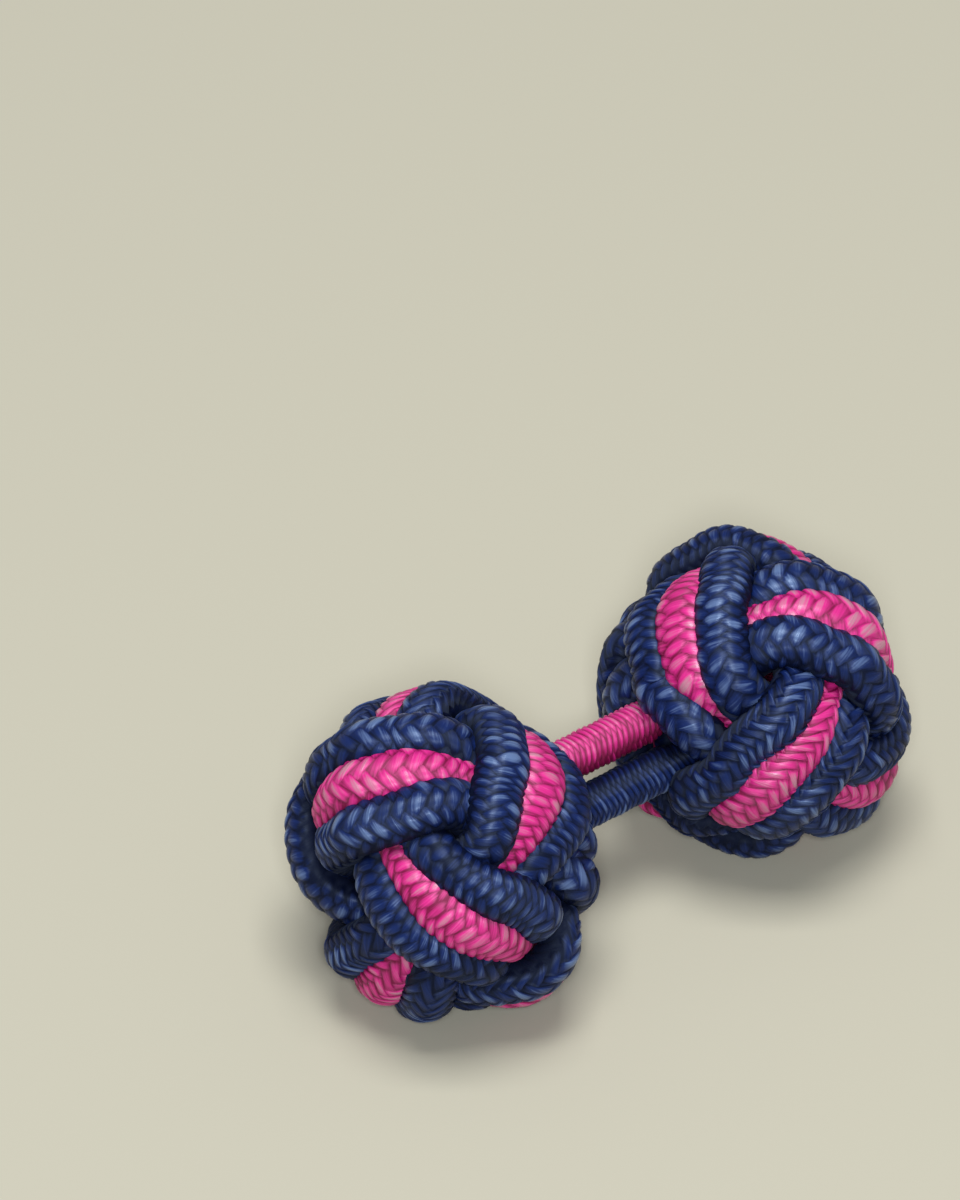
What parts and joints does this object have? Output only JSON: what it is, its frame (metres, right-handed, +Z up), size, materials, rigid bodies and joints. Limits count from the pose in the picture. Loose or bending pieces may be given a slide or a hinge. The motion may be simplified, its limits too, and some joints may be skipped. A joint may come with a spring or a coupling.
{
  "type": "knot cufflink",
  "caption": "Soft cufflink of elastic braided cord: two woven ball knots in navy and pink, joined by a short stem of parallel cords.",
  "frame": {"origin": "on the ground, below the middle of the whole cufflink, which lies on its two knots", "axes": "+X from the left knot to the right knot along the stem, +Z up, +Y away from the viewer's side"},
  "size_m": [0.0238, 0.0122, 0.0116],
  "materials": {
    "navy_cord": "silky herringbone braid, navy blue",
    "pink_cord": "silky herringbone braid, magenta pink"
  },
  "bodies": {
    "root": {"knot_left_pink": "pink_cord", "knot_left_navy_outer": "navy_cord", "knot_left_navy_inner": "navy_cord", "knot_right_pink": "pink_cord", "knot_right_navy_outer": "navy_cord", "knot_right_navy_inner": "navy_cord", "stem_pink": "pink_cord", "stem_navy": "navy_cord"}
  },
  "joints": []
}
